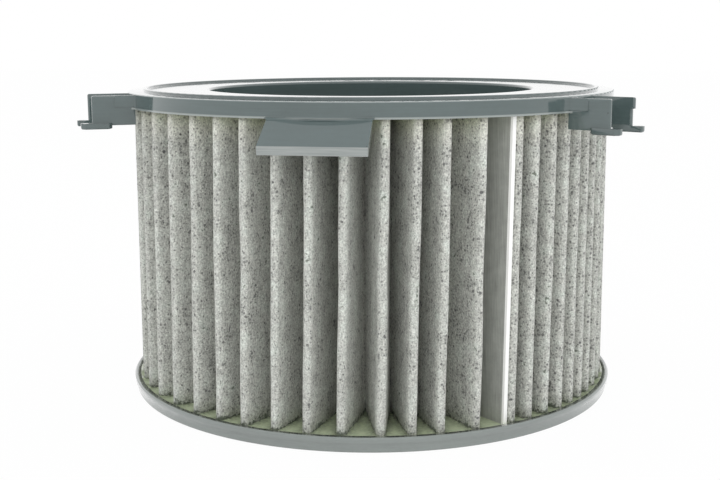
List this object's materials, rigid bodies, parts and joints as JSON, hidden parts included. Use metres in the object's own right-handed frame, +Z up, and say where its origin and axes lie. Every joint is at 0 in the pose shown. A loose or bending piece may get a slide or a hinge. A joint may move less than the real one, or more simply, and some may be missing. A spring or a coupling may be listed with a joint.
{
  "type": "cabin air filter",
  "caption": "Round cabin air filter: a ring of pleated media between a moulded top frame with an air outlet, finger tab and brackets, and a closed tray.",
  "frame": {"origin": "middle of the tray's underside, on the filter's axis", "axes": "+Z up along the filter's axis, out of the air outlet; the finger tab points towards -Y; +X to the right when looking at the tab"},
  "size_m": [0.2076, 0.2016, 0.1177],
  "materials": {
    "frame_plastic": "moulded blue-grey plastic, satin gloss",
    "tray_plastic": "moulded grey plastic, satin gloss",
    "filter_media": "pale nonwoven felt with dark carbon specks",
    "seam_plastic": "plain white clip",
    "potting": "cast pale yellow-green polyurethane, glossy"
  },
  "bodies": {
    "root": {"top_frame": "frame_plastic", "bottom_tray": "tray_plastic", "pleated_media": "filter_media", "seam_strip": "seam_plastic", "lower_potting": "potting", "upper_potting": "potting"}
  },
  "joints": []
}
